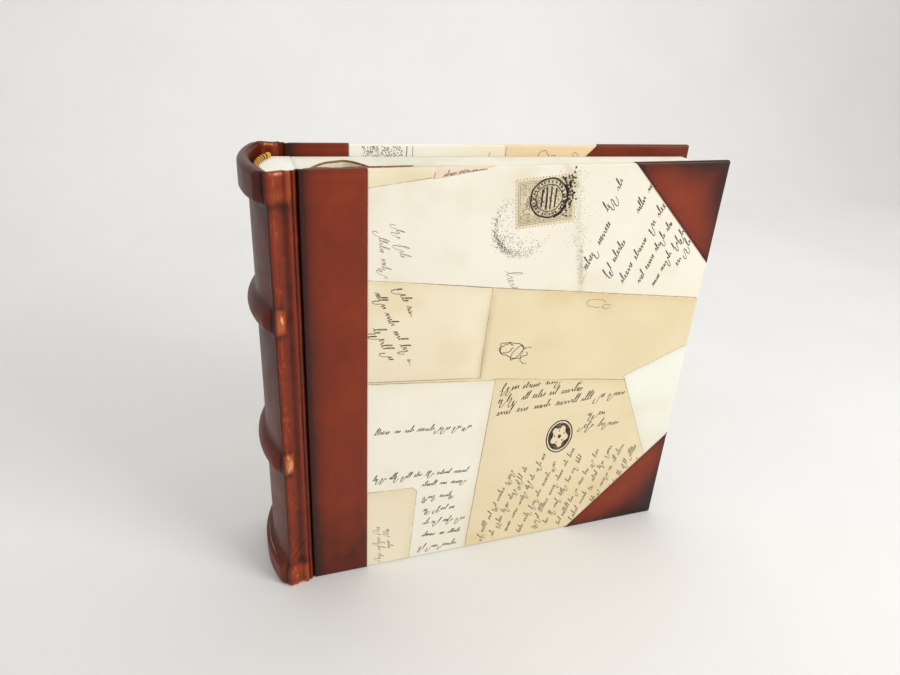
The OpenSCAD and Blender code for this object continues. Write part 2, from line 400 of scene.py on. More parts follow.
def curve_through(controls, count):
    """A smooth curve through the control points, evenly spaced."""
    controls = np.asarray(controls, float)
    steps = np.linspace(0, len(controls) - 1, 600)
    k = np.clip(steps.astype(int), 0, len(controls) - 2)
    t = (steps - k)[:, None]
    p0, p1 = controls[np.maximum(k - 1, 0)], controls[k]
    p2, p3 = controls[k + 1], controls[np.minimum(k + 2, len(controls) - 1)]
    curve = 0.5 * (2 * p1 + (p2 - p0) * t + (2 * p0 - 5 * p1 + 4 * p2 - p3) * t ** 2
        + (3 * p1 - p0 - 3 * p2 + p3) * t ** 3)
    length = np.concatenate([[0], np.cumsum(np.linalg.norm(np.diff(curve, axis=0), axis=1))])
    even = np.linspace(0, length[-1], count)
    return np.stack([np.interp(even, length, curve[:, i]) for i in (0, 1)], 1)


def plan_line():
    """Points along the whole leather in plan, from the front board's edge to the back board's, evenly spaced on
    the strips and the arc, with each point's distance from the board's edge in X."""
    controls = np.array(STRIP)
    around = np.linalg.norm(np.diff(controls, axis=0), axis=1).sum()
    strip = curve_through(controls, int(around / COLUMN_STEP))
    front = np.stack([BOARD_X - strip[:, 0], -strip[:, 1]], 1)
    half = math.asin((strip[-1, 1] - 0.5) / SPINE_R)
    angles = np.linspace(-half, half, int(2 * half * SPINE_R / ARC_STEP))
    arc = np.stack([SPINE_X - SPINE_R * np.cos(angles), SPINE_R * np.sin(angles)], 1)
    back = front[::-1] * (1, -1)
    return np.vstack([front, arc, back])


def section_heights():
    """Heights of the rows: close together at the rounded ends."""
    turn = ROLL_R * (1 - np.cos(np.linspace(0, math.pi / 2, 8)))
    middle = np.linspace(ROLL_R, COVER_H - ROLL_R, int(COVER_H / ROW_STEP))[1:-1]
    return np.concatenate([turn, middle, COVER_H - turn[::-1]])


def band_rise(z):
    """How far the leather stands out over the raised bands."""
    total = 0
    for band in BANDS:
        off = np.abs(z - band)
        rise = np.sqrt(np.maximum(BAND_R ** 2 - off ** 2, 0)) - (BAND_R - BAND_H) - np.maximum(off - BAND_R, 0)
        total = total + 0.5 * (rise + np.sqrt(rise ** 2 + 0.7))
    return np.where(total < 0.06, 0, total - 0.06)


def roll_half(z):
    """Half the thickness of the head or tail roll at a height."""
    from_end = np.minimum(z, COVER_H - z)
    off = np.abs(from_end - ROLL_H / 2) - (ROLL_H / 2 - ROLL_R)
    return ROLL_R * np.sqrt(np.clip(1 - (np.maximum(off, 0) / ROLL_R) ** 2, 0, 1))


class SpineSkin:
    """The leather of the spine and both joints as one surface, cut into the pieces that move apart."""

    def __init__(self):
        self.line = plan_line()
        ahead = np.roll(self.line, -1, 0)
        behind = np.roll(self.line, 1, 0)
        ahead[-1], behind[0] = self.line[-1], self.line[0]
        along = ahead - behind
        along /= np.linalg.norm(along, axis=1)[:, None]
        self.normal = np.stack([-along[:, 1], along[:, 0]], 1)
        self.normal *= -np.sign(self.normal[len(self.line) // 2, 0])
        self.offset = BOARD_X - self.line[:, 0]
        self.heights = section_heights()
        self.build()

    def build(self):
        across, up = np.meshgrid(self.offset, self.heights, indexing="ij")
        y = np.broadcast_to(self.line[:, 1:], across.shape)
        on_arc = smooth_step(np.abs(y), SPINE_EDGE_Y - 0.6, SPINE_EDGE_Y - 5)
        on_arc = np.where(across > 18.5, np.maximum(on_arc, smooth_step(across, 18.6, 20.0)), 0)
        pinch = hump(across, ARRIS, 0.9) * (np.abs(y) > 34)
        strip_band = 0.42 * smooth_step(across, 9.6, 14.2)
        band_share = (strip_band + (1 - strip_band) * on_arc) * (1 - 0.62 * pinch)
        strip_roll = 0.38 * smooth_step(across, 4.2, 6.4)
        roll_share = (strip_roll + (1 - strip_roll) * on_arc) * (1 - 0.12 * pinch)
        half = roll_half(up)
        from_end = np.minimum(up, COVER_H - up)
        thin = LEATHER_T / 2 * np.sqrt(np.clip(1 - (1 - np.minimum(from_end / (LEATHER_T / 2), 1)) ** 2, 0, 1))
        near_roll = smooth_step(from_end, ROLL_H + 1.0, ROLL_H - 2.5) * on_arc
        near_roll += smooth_step(from_end, ROLL_H + 3.0, ROLL_H - 7) * (1 - on_arc)
        outer = (1 - roll_share) * (thin - LEATHER_T / 2) + roll_share * np.where(
            near_roll > 0, np.maximum(ROLL_OFFSET + half, 0) * near_roll, 0)
        inner = (1 - roll_share) * (-thin - LEATHER_T / 2) + roll_share * (
            np.where(half > 0.01, ROLL_OFFSET - half, -LEATHER_T) * near_roll - LEATHER_T * (1 - near_roll))
        self.relief = band_share * band_rise(up)
        hollow = hump(across, 10.6, 2.2) * (1 - near_roll)
        step = 0.5 + 0.5 * np.tanh((up - HOLLOW_ABOVE) / 0.5) + 0.5 - 0.5 * np.tanh((up - HOLLOW_BELOW) / 0.5)
        self.relief = self.relief - 0.32 * hollow * step * smooth_step(band_rise(up), 0.5, 0.0)
        fold = np.abs((up - 34) + (across - 9) * 1.6)
        on_strip = smooth_step(across, 4.6, 5.6) * smooth_step(across, 17.0, 15.5)
        self.relief -= 0.35 * hump(fold, 0, 1.0) * on_strip
        self.relief += 0.16 * on_arc * cloud(y, up, 26, 3) + 0.12 * (1 - on_arc) * cloud(across, up, 5, 5)
        ridge = hump(across, 6.0, 0.9) + hump(across, 3.2, 0.6)
        self.relief += 0.3 * ridge * cloud(0 * across, up, 22, 9) * (1 - near_roll)
        self.band = band_rise(up)
        outer = outer + self.relief * smooth_step(from_end, 0.0, 3.0)
        self.outer, self.inner = outer, np.minimum(inner, outer)
        self.tone = self.shade(across, up, on_arc, near_roll, outer)

    def shade(self, across, up, on_arc, near_roll, outer):
        """The tone: painted shade in the groove and hollows, ridges and knuckles lighter as wear and painted
        highlight.
        """
        blurred = outer.copy()
        for _ in range(14):
            padded = np.pad(blurred, 1, mode="edge")
            blurred = (padded[:-2, 1:-1] + padded[2:, 1:-1] + padded[1:-1, :-2] + padded[1:-1, 2:]) / 4
        strip = smooth_step(across, 18.3, 17.3)
        # High spots lighter as rubbed wear, hollows darker as painted shade.
        rub_and_hollow_shade = np.clip((outer - blurred) * 0.5, -0.22, 0.2) * (0.2 + 0.8 * strip) * (1 - 0.5 * near_roll)
        # Painted shade in the groove, in the strip's valley and in the crease at the joint's middle.
        groove = hump(across, 0.7, 1.3)
        valley = hump(across, 9.1, 1.1) * (1 - near_roll) * strip
        line = hump(across, JOINT_MIDDLE, 0.4) * (1 - 0.7 * near_roll)
        arris = hump(across, ARRIS, 0.7) * (np.abs(self.line[:, 1:]) > 30)
        raised = np.clip(self.band / BAND_H, 0, 1)
        from_end = np.minimum(up, COVER_H - up)
        lip = hump(from_end, 1.2, 0.9) * smooth_step(cloud(across * 4, up, 5, 15), -0.2, 0.3)
        back = (0.13 - 0.05 * smooth_step(up, 170, 60)) * (1 - strip)
        tone = 0.5 - back + rub_and_hollow_shade - 0.36 * groove - 0.12 * valley - 0.2 * line
        # Painted shade along the arris, deeper beside the raised bands.
        tone -= arris * (0.1 + 0.08 * raised) * (1 - 0.8 * near_roll)
        # Painted highlights on the broad ridge by the arris, on the band knuckles and on the ridge by the groove.
        tone += strip * (
            0.09 * hump(across, 14.2, 1.8) + 0.12 * raised * smooth_step(across, 9.5, 12))
        tone += 0.06 * strip * hump(across, 5.9, 1.0)
        tone += strip * (0.07 * near_roll + 0.4 * lip * smooth_step(across, 5, 7))
        tone += 0.05 * cloud(across * 3, up, 30, 12) * strip
        flecks = smooth_step(cloud(across * 5, up, 4, 18, 2), 0.34, 0.5)
        return tone + 0.22 * flecks * strip * smooth_step(across, 12, 13.5) * smooth_step(across, 17.2, 16.4)

    def piece(self, name, first, last):
        """The closed piece of the leather between two columns, and its columns."""
        columns = range(first, last + 1)
        rows = len(self.heights)
        points, tones = [], []
        for c in columns:
            base, normal = self.line[c], self.normal[c]
            for n, order in ((self.outer[c], range(rows)), (self.inner[c], range(rows - 1, -1, -1))):
                for r in order:
                    xy = base + normal * n[r]
                    points.append((xy[0], xy[1], self.heights[r]))
                    tones.append(self.tone[c, r] if n is self.outer[c] else self.tone[c, r] - 0.08)
        ring = 2 * rows
        faces = []
        for c in range(len(columns) - 1):
            for r in range(ring):
                a, b = c * ring + r, c * ring + (r + 1) % ring
                faces.append((a, b, b + ring, a + ring))
        for c, flip in ((0, True), (len(columns) - 1, False)):
            for r in range(rows - 1):
                a, b = c * ring + r, c * ring + r + 1
                far_b, far_a = c * ring + ring - 2 - r, c * ring + ring - 1 - r
                faces.append((a, b, far_b, far_a) if not flip else (far_a, far_b, b, a))
        made = make_object(name, points, faces)
        set_values(made, "tone", tones)
        close_mesh(made)
        return made

    def column(self, distance, back=False):
        """The column at a distance from the board's edge on the front or the back strip."""
        middle = len(self.line) // 2
        side = np.arange(middle, len(self.line)) if back else np.arange(middle)
        return int(side[np.argmin(np.abs(self.offset[side] - distance))])


def close_mesh(piece):
    """Joins points that meet and turns every face outwards."""
    bm = bmesh.new()
    bm.from_mesh(piece.data)
    bmesh.ops.remove_doubles(bm, verts=bm.verts, dist=1e-7)
    bmesh.ops.dissolve_degenerate(bm, edges=bm.edges, dist=1e-7)
    bmesh.ops.recalc_face_normals(bm, faces=bm.faces)
    bm.to_mesh(piece.data)
    bm.free()


def make_spine():
    skin = SpineSkin()
    start, middle = skin.column(STRIP_START), skin.column(JOINT_MIDDLE)
    back_start, back_middle = skin.column(STRIP_START, True), skin.column(JOINT_MIDDLE, True)
    spine = skin.piece("spine_leather_moulded", start, back_start)
    finish_piece(spine, LEATHER, "spine", ["spine_leather"])
    last = len(skin.line) - 1
    for side, near, mid, end in (("front", start, middle, 0), ("back", back_start, back_middle, last)):
        strip = skin.piece(f"{side}_joint_strip", min(near, mid), max(near, mid))
        groove = skin.piece(f"{side}_joint_groove", min(mid, end), max(mid, end))
        for piece in (strip, groove):
            piece.data.materials.append(LEATHER)
        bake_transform(strip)
        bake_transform(groove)
        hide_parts(f"{side}_joint_leather")


make_spine()


# ---------------------------------------------------------------- boards


def rounded_slab(inset, step_u, step_z, radius=1.1, start=0.0):
    """A board with its covering as a closed box with rounded edges, cut into a fine grid, in the board's
    frame. start is where it begins, from the joint."""
    bm = bmesh.new()
    bmesh.ops.create_cube(bm, size=1)
    low = np.array([start, inset, inset])
    high = np.array([BOARD_W - inset, COVER_T, COVER_H - inset])
    for vert in bm.verts:
        vert.co = [low[i] if vert.co[i] < 0 else high[i] for i in range(3)]
    bmesh.ops.bevel(bm, geom=bm.edges[:], offset=radius, segments=3, profile=0.5, affect="EDGES")
    for axis, step in ((0, step_u), (2, step_z)):
        normal = [0, 0, 0]
        normal[axis] = 1
        count = int((high[axis] - low[axis] - 2 * radius) / step)
        for place in np.linspace(low[axis] + radius, high[axis] - radius, count + 1)[1:-1]:
            spot = [0, 0, 0]
            spot[axis] = place
            split(bm, spot, normal)
    return bm


def split(bm, spot, normal, parts=None, drop_beyond=False):
    """Cuts the mesh, or some of its parts, along a plane. drop_beyond drops the side that the normal points
    to."""
    parts = bm.verts[:] + bm.edges[:] + bm.faces[:] if parts is None else list(parts)
    bmesh.ops.bisect_plane(bm, geom=parts, plane_co=spot, plane_no=normal, dist=1e-4, clear_outer=drop_beyond)


def drop_faces(bm, test):
    doomed = [f for f in bm.faces if test(f.calc_center_median(), f.normal)]
    bmesh.ops.delete(bm, geom=doomed, context="FACES")


def corner_side(leg, top, c):
    """Above zero where a place lies in a leather corner. On the inner face the turn-ins are folded over, so
    there the corner's edge leans the other way."""
    u, z = c.x, (c.z if top > 0 else COVER_H - c.z)
    if c.y < COVER_T / 2:
        return (u - (BOARD_W - leg)) - (COVER_H - z)
    if z > COVER_H - TURN_IN:
        return (u - (BOARD_W - leg)) + (COVER_H - z)
    if u > BOARD_W - TURN_IN:
        return z - (COVER_H - leg) + (BOARD_W - u)
    return -1


def cut_corner(bm, leg, top, inside_corner):
    """Cuts a board's covering along a leather corner's edges and keeps the corner, or all but the corner."""
    split(bm, (0, COVER_T / 2, 0), (0, 1, 0))
    edge_z = COVER_H if top > 0 else 0
    for inner, spot, normal in (
            (False, (BOARD_W - leg, 0, edge_z), (1, 0, top)),
            (True, (BOARD_W - leg, 0, edge_z), (1, 0, -top)),
            (True, (BOARD_W, 0, edge_z - top * leg), (-1, 0, top))):
        faces = [f for f in bm.faces if (f.calc_center_median().y > COVER_T / 2) == inner]
        parts = set(faces) | {e for f in faces for e in f.edges} | {v for f in faces for v in f.verts}
        split(bm, spot, normal, parts)
    drop_faces(bm, lambda c, n: (corner_side(leg, top, c) > 0) != inside_corner)


def open_inside(bm):
    """Leaves only the turn-ins on the inner face, and opens the joint edge."""
    for spot, normal in (((BOARD_W - TURN_IN, 0, 0), (1, 0, 0)),
            ((0, 0, TURN_IN), (0, 0, 1)), ((0, 0, COVER_H - TURN_IN), (0, 0, 1))):
        split(bm, spot, normal)
    drop_faces(bm, lambda c, n: c.y > COVER_T - 0.05 and c.x < BOARD_W - TURN_IN
        and TURN_IN < c.z < COVER_H - TURN_IN)


def covering(name, bm, side, thickness):
    """Turns a piece of covering in the board's frame into an object, thickened inwards."""
    bm.verts.ensure_lookup_table()
    flat = np.array([v.co[:] for v in bm.verts])
    mesh = bpy.data.meshes.new(name)
    for vert, place in zip(bm.verts, cover_point(flat[:, 0], flat[:, 1], flat[:, 2], side)):
        vert.co = place * MM
    if side > 0:
        bmesh.ops.reverse_faces(bm, faces=bm.faces)
    bm.normal_update()
    bm.to_mesh(mesh)
    bm.free()
    mesh.polygons.foreach_set("use_smooth", [True] * len(mesh.polygons))
    piece = add_to_scene(name, mesh)
    shell = piece.modifiers.new("thickness", "SOLIDIFY")
    shell.thickness = thickness * MM
    shell.offset = -1
    return piece, flat


CORNER_LEGS = {"head_corner": (HEAD_CORNER, 1), "tail_corner": (TAIL_CORNER, -1)}


def corner_plane(leg, top):
    """A point on a leather corner's long edge, and the direction into the corner."""
    z = COVER_H if top > 0 else 0
    return (BOARD_W - leg, 0, z), (1 / math.sqrt(2), 0, top / math.sqrt(2))


def board_leather(side_name, side):
    bm = rounded_slab(0, 2.5, 2.5, 1.4, -0.9)
    split(bm, (LEATHER_W, 0, 0), (1, 0, 0), drop_beyond=True)
    open_inside(bm)
    piece, flat = covering(f"{side_name}_board_leather_panel", bm, side, LEATHER_T)
    u, z = flat[:, 0], flat[:, 2]
    # Darker towards the joint: painted shade of the groove's hollow.
    tone = 0.5 - 0.34 * np.exp(-u / 3.6) - 0.05 * np.exp(-u / 12.0)
    tone -= 0.07 * np.exp(-(LEATHER_W - u) / 0.8)
    low = smooth_step(z, 110, 40)
    veins = hump(cloud(u, z * 0.4, 11, 21, 2), 0, 0.08) * smooth_step(u, 8, 22)
    tone -= low * (0.07 * veins + 0.06 * np.clip(cloud(u, z, 12, 23), 0, 1)) + 0.11 * smooth_step(z, 80, 0)
    tone += 0.03 * cloud(u, z, 60, 24) - 0.08 * np.exp(-np.minimum(z, COVER_H - z) / 1.6)
    # A thin lighter line under the head edge: a painted highlight on the edge's bevel.
    tone += 0.05 * smooth_step(u, 3, 9) * hump(COVER_H - z, 3.2, 1.2)
    set_values(piece, "tone", tone)
    finish_piece(piece, LEATHER, f"{side_name}_cover", [f"{side_name}_board_leather"])


def leather_corner(side_name, side, place):
    leg, top = CORNER_LEGS[place]
    bm = rounded_slab(0, 2.5, 2.5, 1.4)
    spot, normal = corner_plane(leg, top)
    split(bm, (BOARD_W - leg - TURN_IN - 2, 0, 0), (-1, 0, 0), drop_beyond=True)
    open_inside(bm)
    cut_corner(bm, leg, top, True)
    piece, flat = covering(f"{side_name}_{place}_leather", bm, side, LEATHER_T)
    u, z = flat[:, 0], flat[:, 2]
    to_long = (u - spot[0]) * normal[0] + (z - spot[2]) * normal[2]
    to_edge = np.minimum(BOARD_W - u, (COVER_H - z) if top > 0 else z)
    tone = 0.49 - 0.30 * np.exp(-to_edge / 8.0) + 0.06 * hump(to_long, 12, 12)
    worn = 0.14 if top > 0 else 0.26
    tone -= 0.08 * np.exp(-np.maximum(to_long, 0) / 0.9) + worn * smooth_step(to_long, 14, 50)
    tone += 0.04 * cloud(u, z, 30, 31 + top)
    tone[flat[:, 1] > COVER_T / 2] = 0.42
    set_values(piece, "tone", tone)
    finish_piece(piece, LEATHER, f"{side_name}_cover", [f"{side_name}_{place}"])


# ---------------------------------------------------------------- side papers

LAYOUT_START, LAYOUT_STRETCH = 4.0, 1.0145


def laid(u):
    """The place on the board, along u, of a place in the collage's own layout."""
    return LAYOUT_START + LAYOUT_STRETCH * np.asarray(u, float)


CREAM = (241, 235, 218)
WARM = (238, 226, 196)
TAN = (233, 217, 180)
YELLOW = (240, 230, 200)
PINKISH = (240, 222, 202)
GREENISH = (238, 238, 224)
ORANGE = (234, 204, 152)

# The sheets of the collage on the front, from the bottom one up: outline in u and z, and paper colour.
FRONT_SHEETS = [
    ([(30, 305), (280, 305), (280, 150), (30, 150)], CREAM),
    ([(28, 288), (122, 301), (30, 306)], YELLOW),
    ([(72, 293), (114, 300), (76, 306)], PINKISH),
    ([(28, 233), (115, 221), (178, 213), (282, 199), (282, -5), (28, -5)], TAN),
    ([(28, 233), (115, 221), (111, 154), (28, 161)], WARM),
    ([(120, 152), (232, 136), (285, 120), (285, -5), (104, -5)], TAN),
    ([(226, 141), (285, 165), (285, 20), (259, 62)], GREENISH),
    ([(28, 160), (123, 151), (123, 149), (110, -5), (28, -5)], CREAM),
    ([(28, 70.5), (67, 68), (70, 64.5), (65, -5), (28, -5)], WARM),
]
BACK_SHEETS = [([(u, COVER_H - z) for u, z in outline], rgb) for outline, rgb in FRONT_SHEETS]
CREASES = [((155, 302), (165, 287)), ((165, 287), (179, 214)), ((116, 215), (111, 154))]


def inside(outline, u, z):
    """Which points lie inside an outline."""
    found = np.zeros(np.shape(u), bool)
    for (u0, z0), (u1, z1) in zip(outline, outline[1:] + outline[:1]):
        if z0 == z1:
            continue
        crosses = (z0 > z) != (z1 > z)
        found ^= crosses & (u < (u1 - u0) * (z - z0) / (z1 - z0) + u0)
    return found


def to_segment(u, z, start, end):
    """Distance of points from a line between two places."""
    run = np.subtract(end, start)
    t = np.clip(((u - start[0]) * run[0] + (z - start[1]) * run[1]) / (run @ run), 0, 1)
    return np.hypot(u - start[0] - t * run[0], z - start[1] - t * run[1])


def paint_sheets(sheets, u, z, seed):
    """The collage's colours: each sheet's own tint, cloudy age stains, and edges darkened by age and painted
    shade.
    """
    colours = np.tile(np.array(CREAM, float), (len(u), 1))
    for number, (outline, rgb) in enumerate(sheets):
        mask = inside(outline, u, z)
        age = cloud(u, z, 60, seed + number)
        patch = np.array(rgb, float) + age[:, None] * np.array([5, 7, 11])
        distance = np.min([to_segment(u, z, a, b) for a, b in zip(outline, outline[1:] + outline[:1])], 0)
        # Darker near each sheet's edges: browning with age, and a painted soft shade.
        patch -= np.exp(-distance / 3.0)[:, None] * np.array([7, 10, 16])
        colours[mask] = patch[mask]
    return colours


def paint_stains(colours, u, z, mirrored):
    """Soiled fold lines, and broad brown water marks."""
    fold_z = COVER_H - z if mirrored else z
    for number, (start, end) in enumerate(CREASES):
        near = hump(to_segment(u, fold_z, start, end), 0, 2.2)
        dirt = near * (0.55 + 0.45 * cloud(u, fold_z, 9, 50 + number))
        colours -= dirt[:, None] * np.array([24, 30, 38])
    mark = np.clip(cloud(u, z, 34, 61) - 0.25, 0, 1)
    colours -= mark[:, None] * np.array([12, 20, 34])
    return np.clip(colours, 20, 250)


def paint_turn_in(u):
    """The strip that shows on the inner face at the head: cream, then an orange-tan sheet."""
    colours = np.tile(np.array(CREAM, float), (len(u), 1))
    warm = smooth_step(u, 76, 136)[:, None]
    colours -= warm * np.array([2, 8, 22])
    colours[u > 138] = np.array(ORANGE) + np.array([0, 4, 10])
    return colours


def paper_side(side_name, side, sheets):
    inset = LEATHER_T - PAPER_T
    bm = rounded_slab(inset, 1.35, 1.35)
    split(bm, (LEATHER_W, 0, 0), (-1, 0, 0), drop_beyond=True)
    open_inside(bm)
    for leg, top in CORNER_LEGS.values():
        cut_corner(bm, leg, top, False)
    piece, flat = covering(f"{side_name}_side_paper", bm, side, PAPER_T)
    u, v, z = flat.T
    mirrored = side > 0
    place = (u - laid(0)) / (laid(1) - laid(0))
    colours = paint_stains(paint_sheets(sheets, place, z, 70 + side), place, z, mirrored)
    within = v > COVER_T / 2 + 0.5
    colours[within] = paint_turn_in(place[within])
    # A faint cloud, and a lighter colour as painted light that makes up for the shade on this inward face.
    colours[within] += cloud(u, z, 30, 44)[within][:, None] * np.array([3, 5, 8]) + np.array([9, 12, 18])
    colours = np.clip(colours, 0, 254)
    set_colours(piece, linear(colours))
    finish_piece(piece, PAPER, f"{side_name}_cover", [f"{side_name}_paper_side"])


# ---------------------------------------------------------------- ink

INK_RISE = 0.05


def ribbons(name, lines, side, material, inner=False):
    """Ink as thin raised ribbons on a board. Each line is its points in the collage's layout with the pen's
    width at each."""
    points, faces = [], []
    base = COVER_T if inner else LEATHER_T - PAPER_T
    lift = INK_RISE if inner else -INK_RISE
    for path, width in lines:
        path = np.asarray(path, float)
        if len(path) < 2:
            continue
        along = np.gradient(path, axis=0)
        along /= np.maximum(np.linalg.norm(along, axis=1), 1e-6)[:, None]
        across = np.stack([-along[:, 1], along[:, 0]], 1) * np.broadcast_to(width, len(path))[:, None] / 2
        first = len(points)
        for p, a in zip(path, across):
            under, over = base - lift, base + lift
            for spot, v in ((p + a, under), (p - a, under), (p - a, over), (p + a, over)):
                points.append((spot[0], v, spot[1]))
        faces += tube_faces(4, len(path), first)
    flat = np.array(points)
    piece = make_object(name, cover_point(laid(flat[:, 0]), flat[:, 1], flat[:, 2], side), faces, smooth=False)
    close_mesh(piece)
    body = "front_cover" if side < 0 else "back_cover"
    return finish_piece(piece, material, body)


def trimmed(lines, keep):
    """The stretches of each line that lie where keep says, such as inside a sheet."""
    found = []
    for path, width in lines:
        path, width = np.asarray(path), np.broadcast_to(width, len(path))
        good = keep(path[:, 0], path[:, 1])
        start = None
        for k, ok in enumerate(list(good) + [False]):
            if ok and start is None:
                start = k
            if not ok and start is not None:
                if k - start > 2:
                    found.append((path[start:k], width[start:k]))
                start = None
    return found


def pen_word(rng, letters, height):
    """One cursive word of meaningless strokes along X: humps, loops and tails in random order."""
    xs, ys, pen = [], [], 0.0
    for _ in range(letters):
        kind = rng.choice(["hump", "bowl", "tall", "tail"], p=[0.38, 0.30, 0.20, 0.12])
        wide = height * rng.uniform(0.5, 0.85)
        t = np.linspace(0, 1, 13 if kind in ("hump", "bowl") else 19)[:-1]
        wave = 0.5 - 0.5 * np.cos(2 * math.pi * t)
        if kind == "hump":
            x, y = wide * t, height * rng.uniform(0.7, 1.0) * wave ** 0.8
        elif kind == "bowl":
            x = wide * (t + 0.42 * np.sin(2 * math.pi * t))
            y = height * rng.uniform(0.75, 1.05) * wave
        elif kind == "tall":
            x = wide * (t + 0.4 * np.sin(2 * math.pi * t))
            y = height * rng.uniform(1.9, 2.6) * wave
        else:
            x = wide * (t - 0.4 * np.sin(2 * math.pi * t))
            y = -height * rng.uniform(1.1, 1.7) * wave
        xs.append(pen + x)
        ys.append(y)
        pen += wide
    x, y = np.concatenate(xs), np.concatenate(ys)
    y = y + height * 0.08 * np.sin(x / height * 1.7 + rng.uniform(0, 6))
    return np.stack([x + 0.55 * y, y], 1), pen


def pen_width(path, nib):
    """Thick on the way down and thin on the way up, as from a pointed pen."""
    along = np.gradient(path, axis=0)
    fall = np.abs(along[:, 1]) / np.maximum(np.linalg.norm(along, axis=1), 1e-6)
    down = along[:, 1] < 0
    return nib * (0.52 + 0.48 * np.where(down, fall, 0.2 * fall))


def writing(start, angle, length, height, nib, seed):
    """A line of pen writing from a place, at an angle in degrees, in words of random length."""
    rng = np.random.default_rng(seed)
    lines, pen = [], 0.0
    spin = spin_matrix(angle)
    while pen < length:
        path, wide = pen_word(rng, int(rng.integers(3, 9)), height * rng.uniform(0.9, 1.1))
        if pen and pen + wide > length * 1.08:
            break
        width = pen_width(path, nib)
        placed = (path + [pen, rng.uniform(-0.1, 0.1) * height]) @ spin + start
        lines.append((placed, width))
        pen += wide + height * rng.uniform(0.9, 1.6)
    return lines


def written(rows, nib, seed):
    """Lines of pen writing. Each row is a start in u and z, an angle, a length and a height of letters."""
    lines = []
    for number, (u, z, angle, long, tall) in enumerate(rows):
        lines += writing((u, z), angle, long, tall, nib, seed + number)
    return lines


def spin_matrix(degrees):
    """Turns rows of u and z by an angle."""
    c, s = math.cos(math.radians(degrees)), math.sin(math.radians(degrees))
    return np.array([[c, s], [-s, c]])


def loop_line(centre, radius_u, radius_z, width, turns=(0, 360), wobble=0.0, seed=0, lean=0.0):
    """A ring or an arc, with a slight tremble."""
    angle = np.radians(np.linspace(*turns, int(abs(turns[1] - turns[0]) / 5) + 2))
    shake = 1 + wobble * np.sin(angle * 5 + seed) + wobble * np.sin(angle * 9 + 2 * seed)
    path = np.stack([radius_u * shake * np.cos(angle), radius_z * shake * np.sin(angle)], 1)
    return path @ spin_matrix(lean) + centre, np.full(len(angle), width)


def dots(rng, places, size):
    """Short dabs, for stippled print."""
    found = []
    for u, z in places:
        angle, long = rng.uniform(0, math.pi), size * rng.uniform(0.5, 1.1)
        step = np.array([math.cos(angle), math.sin(angle)]) * long / 2
        found.append((np.array([(u, z) - step, (u, z), (u, z) + step]), np.full(3, size * 0.7)))
    return found


def straight(start, end, width, rng=None, wave=0.0):
    t = np.linspace(0, 1, max(3, int(math.dist(start, end) / 2.5)))[:, None]
    path = np.array(start) * (1 - t) + np.array(end) * t
    if rng is not None:
        path = path + rng.normal(0, wave, path.shape)
    return path, np.full(len(path), width)


def sheet_lines(sheets, keep, seed):
    """The thin dark edge of each sheet of the collage, drawn where no later sheet covers it."""
    rng = np.random.default_rng(seed)
    found = []
    for number, (outline, _) in enumerate(sheets[1:], 1):
        above = [s[0] for s in sheets[number + 1:]]

        def seen(u, z):
            good = keep(u, z)
            for cover in above:
                good = good & ~inside(cover, u, z)
            return good

        for start, end in zip(outline, outline[1:] + outline[:1]):
            count = max(3, int(math.dist(start, end) / 1.2))
            t = np.linspace(0, 1, count)[:, None]
            path = np.array(start) * (1 - t) + np.array(end) * t
            path = path + np.cumsum(rng.normal(0, 0.035, path.shape), 0)
            width = 0.32 + 0.16 * np.clip(np.cumsum(rng.normal(0, 0.3, count)), -1, 1)
            found += trimmed([(path, width)], seen)
    return found


def on_paper(u, z):
    """Where the side paper shows on the outer face, a little inside its edges."""
    u = laid(u)
    head = (BOARD_W - u) + (COVER_H - z) > HEAD_CORNER + 0.8
    tail = (BOARD_W - u) + z > TAIL_CORNER + 0.8
    return (u > LEATHER_W + 0.4) & (u < BOARD_W - 2) & (z > 1.8) & (z < COVER_H - 1.8) & head & tail


